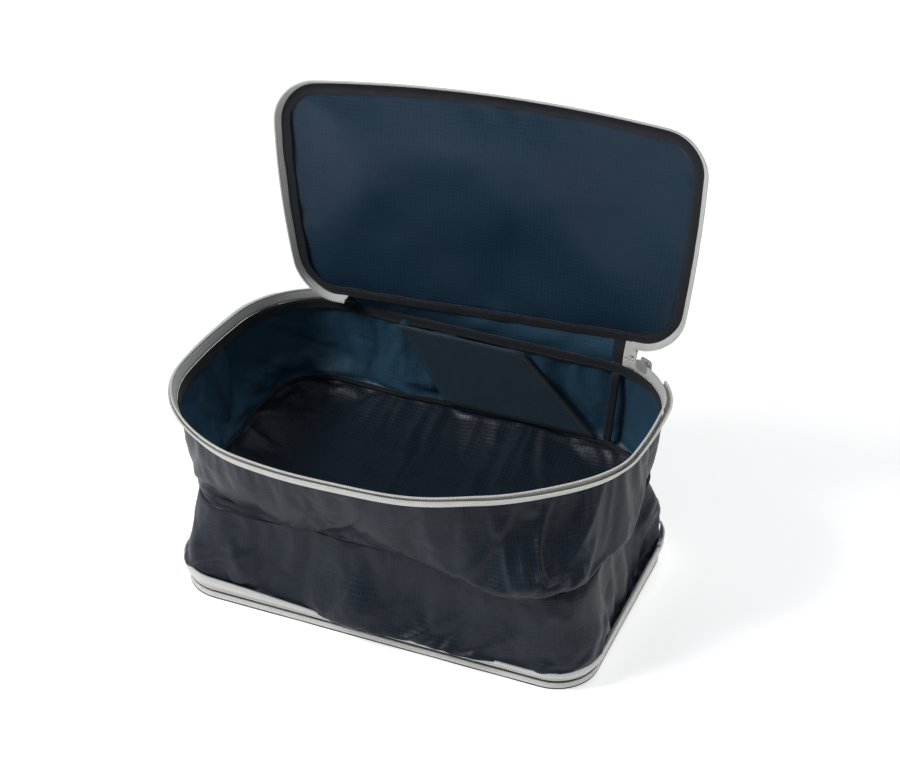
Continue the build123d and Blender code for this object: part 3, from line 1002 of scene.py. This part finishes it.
def buildWalls():
    foot = ringRow(basePlan, aroundCount, -wallShape["footIn"], wallFoot)
    seam = seamRow(aroundCount)
    rim = rimShape(ringRow(rimPlan, aroundCount, -wallShape["rimIn"], rimZ))
    lowSwell = swelling(foot, wallShape["lowSwell"], 3)
    highSwell = swelling(rim, wallShape["highSwell"], 4)
    highSwell += wallShape["bulge"] * near(seam, *wallShape["bulgeAt"], wallShape["bulgeSize"])
    lowPeak, highPeak = wallShape["peaks"]
    lower = buildTier("lower_wall_cloth", foot, seam, lowSwell, lowPeak, 31, "lower_frame", "lower_wall")
    upper = buildTier("upper_wall_cloth", seam, rim, highSwell, highPeak, 37, "rim", "upper_wall")
    return lower, upper


lowerWall, upperWall = buildWalls()
upperTree = BVHTree.FromObject(upperWall, bpy.context.evaluated_depsgraph_get())
print("walls made")


# Puts the edge of the divider's grid on the mid seam.
def onSeam(grid):
    seam = seamRow(1200)
    turns = np.arctan2(seam[:, 1], seam[:, 0])
    order = np.argsort(turns)
    edge = np.zeros(grid.shape[:2], bool)
    edge[0] = edge[-1] = True
    edge[:, 0] = edge[:, -1] = True
    turn = np.arctan2(grid[..., 1], grid[..., 0])
    level = np.interp(turn, turns[order], seam[order, 2], period=2 * math.pi)
    return edge, level


dividerShape = {"wide": 91, "high": 61, "sag": 5 * mm, "ripple": 2.2 * mm, "rippleSize": 0.05}
dividerCloth = {**wallCloth, "shear": 5, "bend": 0.008, "frames": 34, "cap": 22 * mm}


def buildDivider():
    flat = panelGrid(seamPlan, dividerShape["wide"], dividerShape["high"])
    edge, level = onSeam(flat)
    grid = np.dstack([flat, np.full(flat.shape[:2], seamZ)])
    across = 1 - (flat[..., 0] / seamPlan["half"]) ** 2
    along = 1 - (flat[..., 1] / seamPlan["back"]) ** 2
    grid[..., 2] -= dividerShape["sag"] * across * along
    ripple = wave(grid.reshape(-1, 3), dividerShape["rippleSize"], 6).reshape(edge.shape)
    grid[..., 2] += dividerShape["ripple"] * ripple
    grid[edge, 2] = level[edge]
    piece = gridMesh("divider_cloth", grid, flat=flat)
    settle(piece, edge.astype(float).ravel(), dividerCloth)
    thicken(piece, clothThick, levels=1)
    finishPiece(piece, "divider", "charcoal_divider", (charcoal,), "divider_panel")


bottomCover = {
    "wide": 61,
    "high": 41,
    "level": 0.7 * mm,
    "ripple": 0.5 * mm,
    "rippleSize": 0.04,
    "thick": 0.5 * mm,
}


def buildBottomCover():
    flat = panelGrid(basePlan, bottomCover["wide"], bottomCover["high"])
    grid = np.dstack([flat, np.full(flat.shape[:2], bottomCover["level"])])
    ripple = wave(grid.reshape(-1, 3), bottomCover["rippleSize"], 7).reshape(flat.shape[:2])
    grid[..., 2] += np.clip(bottomCover["ripple"] * ripple, 0, None)
    piece = gridMesh("bottom_cover_cloth", grid, flat=flat)
    thicken(piece, bottomCover["thick"])
    finishPiece(piece, "bottom_cover", "charcoal_shell", (charcoal,), "bottom_cover_panel")


bottomHinge = {
    "rows": 6,
    "columns": 80,
    "half": 87.5 * mm,
    "foot": 1.2 * mm,
    "inset": 0.5 * mm,
    "ripple": 0.5 * mm,
    "waves": (160, 300),
    "thick": 0.6 * mm,
}


def buildBottomHinge():
    rows = []
    x = np.linspace(-bottomHinge["half"], bottomHinge["half"], bottomHinge["columns"])
    across, up = bottomHinge["waves"]
    for height in np.linspace(bottomHinge["foot"], wallFoot, bottomHinge["rows"]):
        y = basePlan["back"] - bottomHinge["inset"]
        y = y + bottomHinge["ripple"] * np.sin(x * across + height * up)
        rows.append(np.column_stack([x, y, np.full(len(x), height)]))
    strip = gridMesh("bottom_hinge_cloth", rows)
    thicken(strip, bottomHinge["thick"], offset=0)
    finishPiece(strip, "lower_frame", "charcoal_shell", (charcoal,), "bottom_hinge_strip")


# A folded tape sewn over a seam.
def bindingPiece(name, rows, body, node, thick=0.7 * mm):
    piece = gridMesh(name, rows, closed=True)
    thicken(piece, thick, offset=0, levels=1)
    return finishPiece(piece, body, "black_binding", (blackTape,), node)


# A ring part of the way up a wall between two plans.
def leaning(lowPlan, highPlan, share, grow, height):
    low, high = (ringRow(plan, zipCount, grow, height) for plan in (lowPlan, highPlan))
    return low * (1 - share) + high * share


rimBinding = {
    "rows": 5,
    "wide": 8 * mm,
    "above": 0.5 * mm,
    "inset": 2.0 * mm,
    "ripple": 0.8 * mm,
    "rippleSize": 0.03,
    "pucker": 0.006,
    "puckerSize": 0.025,
}
midSeamBinding = {
    "rows": 4,
    "wide": 4.5 * mm,
    "above": 0.8 * mm,
    "inset": 2.2,
    "lean": 0.8,
    "reach": 0.13,
}
footBinding = {"shares": (0, 0.03, 0.06), "inset": 2.2 * mm, "reach": 65 * mm}
coverBinding = {"insets": (2.6, 5, 8), "height": 1.7 * mm, "thick": 0.5 * mm}


def buildBindings():
    rows = []
    for step in np.linspace(0, 1, rimBinding["rows"]):
        height = rimZ - rimBinding["wide"] * (1 - step) + rimBinding["above"]
        share = (height - seamZ) / (rimZ - seamZ)
        row = rimShape(leaning(seamPlan, rimPlan, share, -rimBinding["inset"], height))
        row[:, 2] += rimBinding["ripple"] * (1 - step) * wave(row, rimBinding["rippleSize"], 8)
        pucker = rimBinding["pucker"] * (1 - step) * wave(row, rimBinding["puckerSize"], 9)
        row[:, :2] *= (1 + pucker)[:, None]
        rows.append(row)
    bindingPiece("rim_tape_inside", rows, "rim", "rim_binding")

    rows = []
    for step in np.linspace(0, 1, midSeamBinding["rows"]):
        row = seamRow(zipCount)
        row[:, 2] += midSeamBinding["above"] + midSeamBinding["wide"] * step
        inset = (midSeamBinding["inset"] + midSeamBinding["lean"] * step) * mm
        row[:, :2] *= 1 - inset / midSeamBinding["reach"]
        rows.append(row)
    bindingPiece("mid_seam_tape", rows, "divider", "mid_seam_binding")

    rows = []
    for share in footBinding["shares"]:
        height = wallFoot + share * footBinding["reach"]
        rows.append(leaning(basePlan, seamPlan, share, -footBinding["inset"], height))
    bindingPiece("foot_tape_inside", rows, "lower_frame", "foot_binding")

    insets = coverBinding["insets"]
    rows = [ringRow(basePlan, zipCount, -inset * mm, coverBinding["height"]) for inset in insets]
    name = "cover_tape_inside"
    bindingPiece(name, rows, "bottom_cover", "bottom_cover_binding", thick=coverBinding["thick"])


lidCloth = {
    "wide": 97,
    "high": 61,
    "swell": 7.5,
    "swellSize": 0.12,
    "ripple": 2.0,
    "rippleSize": 0.045,
    "pucker": 1.1,
    "puckerSize": 0.016,
    "puckerReach": 0.10,
    "hemLevel": 0.995,  # from 0 at the panel's middle to 1 at its edge, which stays flat
}
lidBinding = {
    "rows": 5,
    "inset": 0.2 * mm,
    "wide": 7.6 * mm,
    "pucker": 0.004,
    "puckerSize": 0.02,
    "lift": 1.4 * mm,
    "ripple": 0.5 * mm,
    "rippleSize": 0.018,
    "bulge": 0.8 * mm,
}


def buildLidCloth():
    flat = panelGrid(lidPlan, lidCloth["wide"], lidCloth["high"])
    across = np.abs(flat[..., 0]) / lidPlan["half"]
    level = np.maximum(across, np.abs(2 * flat[..., 1] / lidPlan["front"] - 1))
    loose = np.clip(1 - level**4, 0, 1).ravel()
    level = level.ravel()
    spots = np.dstack([flat, np.zeros(flat.shape[:2])]).reshape(-1, 3)
    swell = lidCloth["swell"] * wave(spots, lidCloth["swellSize"], 11)
    swell = swell + lidCloth["ripple"] * wave(spots, lidCloth["rippleSize"], 12)
    puckers = lidCloth["pucker"] * wave(spots, lidCloth["puckerSize"], 13)
    puckers = puckers * np.exp(-(((1 - level) / lidCloth["puckerReach"]) ** 2))
    inward = (swell * loose + puckers * (level < lidCloth["hemLevel"])) * mm
    grid = lidPoints(flat, inward.reshape(flat.shape[:2]))
    piece = gridMesh("lid_cloth", grid, flat=flat)
    piece.data.materials.append(navy)
    piece.data.materials.append(charcoal)
    piece.data.flip_normals()
    thicken(piece, clothThick, inner=True, levels=1)
    finishPiece(piece, "lid", "navy_ripstop", (), "lid_panel")


def buildLidBinding():
    rows = []
    centre = np.array([0.0, lidPlan["front"] / 2])
    for step in np.linspace(0, 1, lidBinding["rows"]):
        ring = outline(lidPlan, zipCount, -lidBinding["inset"] - lidBinding["wide"] * step)
        spots = np.column_stack([ring, np.zeros(len(ring))])
        pucker = lidBinding["pucker"] * step * wave(spots, lidBinding["puckerSize"], 14)
        ring = centre + (ring - centre) * (1 + pucker)[:, None]
        lift = lidBinding["lift"] + lidBinding["ripple"] * wave(spots, lidBinding["rippleSize"], 15)
        rows.append(lidPoints(ring, lift + lidBinding["bulge"] * math.sin(math.pi * step)))
    bindingPiece("lid_tape_inside", rows, "lid", "lid_binding")


hinge = {
    "closedZip": 10 * mm,
    "clothThick": 0.5 * mm,
    "tapeThick": 0.9 * mm,
    "rows": 8,
    "rimIn": 0.6 * mm,
    "lidIn": 0.2 * mm,
    "below": 1 * mm,
    "overLid": 2 * mm,
    "bow": 1.5 * mm,
    "ripple": 1.2 * mm,
    "rippleSize": 0.02,
}


# The cloth strip that the lid turns on, its two end tabs, and the closed ends of the lid zip.
def hingeStretches():
    left, right = hingeShift - stripHalf, hingeShift + stripHalf
    tab = tabEnd - stripHalf
    shut = hinge["closedZip"]
    zipEnd = ("grey_zip_tape", "lid_zip_rim_tape")
    return (
        # The hinge cloth's first face uses the inner navy, whose colour is brightened with painted light.
        ("hinge_cloth", left, right, 90, (paintedLitLining, charcoal), "navy_ripstop", "hinge_strip"),
        ("closed_zip_left", left - tab - shut / 2, left - tab, 7, (greyTape,), *zipEnd),
        ("closed_zip_right", right + tab, right + tab + shut, 7, (greyTape,), *zipEnd),
        ("hinge_tab_left_tape", left - tab, left, 6, (blackTape,), "black_binding", "hinge_tab_left"),
        ("hinge_tab_right_tape", right, right + tab, 6, (blackTape,), "black_binding", "hinge_tab_right"),
    )


def buildHinge():
    ring = rimShape(ringRow(rimPlan, 1600, -hinge["rimIn"], rimZ - hinge["below"]))
    ring = ring[ring[:, 1] > 40 * mm]  # the back only
    ring = ring[np.argsort(ring[:, 0])]
    for name, low, high, count, materials, slot, node in hingeStretches():
        x = np.linspace(low, high, count)
        foot = np.column_stack([x] + [np.interp(x, ring[:, 0], ring[:, k]) for k in (1, 2)])
        lidX = (x - lidStance["shift"][0]) / (1 - lidStance["gather"])
        top = lidPoints(np.column_stack([lidX, np.full(count, -hinge["overLid"])]), hinge["lidIn"])
        rows = []
        for step in np.linspace(0, 1, hinge["rows"]):
            row = foot * (1 - step) + top * step
            bow = hinge["bow"] + hinge["ripple"] * wave(row, hinge["rippleSize"], 16)
            row[:, 1] -= bow * math.sin(math.pi * step)
            rows.append(row)
        piece = gridMesh(name, rows)
        for material in materials:
            piece.data.materials.append(material)
        lined = len(materials) > 1
        thick = hinge["clothThick"] if lined else hinge["tapeThick"]
        thicken(piece, thick, offset=0, inner=lined, levels=1)
        finishPiece(piece, None, slot, (), node)
        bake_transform(piece)


sewnIn = {"aboveSeam": 5 * mm, "belowRim": 7 * mm, "inset": 2 * mm, "rows": 16, "lookFrom": 0.02}
pocket = {
    "top": (-62 * mm, 35 * mm),
    "foot": (-20 * mm, 98 * mm),
    "edge": 4 * mm,
    "cloth": {"columns": 40, "gap": 2.2 * mm, "thick": 0.3 * mm},
    "binding": {"columns": 4, "gap": 2.4 * mm, "thick": 0.9 * mm},
}
seamRibbon = {"slant": 3 * mm, "tape": {"columns": 5, "gap": 1.4 * mm, "thick": 0.9 * mm}}


# A place just inside the back wall.
def againstBackWall(x, z, gap):
    share = (z - seamZ) / (rimZ - seamZ)
    plain = seamPlan["back"] * (1 - share) + rimPlan["back"] * share - sewnIn["inset"]
    hit = upperTree.ray_cast(Vector((x, sewnIn["lookFrom"], z)), Vector((0, 1, 0)))[0]
    wall = min(hit.y, plain) if hit else plain
    return (x, wall - gap, z)


# A piece sewn inside the back wall, between a top edge and a foot edge given by x.
def backPatch(name, topEdge, footEdge, make, node, slot, material):
    low, high = seamZ + sewnIn["aboveSeam"], rimZ - sewnIn["belowRim"]
    rows = []
    for step in np.linspace(0, 1, sewnIn["rows"]):
        left = footEdge[0] * (1 - step) + topEdge[0] * step
        right = footEdge[1] * (1 - step) + topEdge[1] * step
        height = low * (1 - step) + high * step
        across = np.linspace(left, right, make["columns"])
        rows.append([againstBackWall(x, height, make["gap"]) for x in across])
    piece = gridMesh(name, rows)
    thicken(piece, make["thick"], offset=0)
    finishPiece(piece, "rim", slot, (material,), node)
    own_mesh(piece)
    return piece


def buildPocket():
    top, foot = pocket["top"], pocket["foot"]
    cloth = backPatch("pocket_cloth", top, foot, pocket["cloth"], "back_pocket", "sheer_grey_mesh", sheer)
    top, foot = ((x, x + pocket["edge"]) for x in (top[1], foot[1]))
    node = "back_pocket_binding"
    backPatch("pocket_edge_tape", top, foot, pocket["binding"], node, "black_binding", blackTape)


def buildSeamRibbon():
    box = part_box("wall_seam_ribbon")
    top = (box[0][0] + hingeShift, box[1][0] + hingeShift)
    foot = (top[0] - seamRibbon["slant"], top[1] - seamRibbon["slant"])
    node = "wall_seam_ribbon"
    backPatch("wall_seam_tape", top, foot, seamRibbon["tape"], node, "black_binding", blackTape)


hardware = {
    "edge": 0.3 * mm,
    "stopEdge": 0.12 * mm,
    "cuts": 3,
    "sharpest": math.radians(35),
    "weld": 0.005 * mm,
}


# A small hard piece with its corners rounded and its own finish.
def rounded(node, body, slot, material, edge):
    source = bpy.data.objects[node]
    piece = bpy.data.objects.new(node + "_finished", source.data.copy())
    piece.matrix_world = source.matrix_world
    bpy.context.collection.objects.link(piece)
    piece.data.materials.clear()
    weld = piece.modifiers.new("weld", "WELD")
    weld.merge_threshold = hardware["weld"]
    bevel = piece.modifiers.new("round", "BEVEL")
    bevel.width = edge
    bevel.segments = hardware["cuts"]
    bevel.limit_method = "ANGLE"
    bevel.angle_limit = hardware["sharpest"]
    applied(piece)
    finishPiece(piece, body, slot, (material,), node)
    return piece


def buildSliders():
    for zipName in ("lid", "compression", "bottom"):
        body = zipName + "_slider"
        rounded(zipName + "_zip_slider", body, "grey_slider_paint", greyPaint, hardware["edge"])
        rounded(zipName + "_zip_pull", body + "_pull", "pull_polymer", greyPull, hardware["edge"])
    for node, body in (("lid_zip_stops", "rim"), ("compression_zip_stops", "lower_frame")):
        rounded(node, body, "grey_slider_paint", greyPaint, hardware["stopEdge"])


buildDivider()
buildBottomCover()
buildBottomHinge()
print("divider and cover made")
buildBindings()
buildLidCloth()
buildLidBinding()
buildHinge()
print("lid made")
buildPocket()
buildSeamRibbon()
buildSliders()
print("pocket and sliders made")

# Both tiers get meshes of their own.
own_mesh(lowerWall)
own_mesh(upperWall)
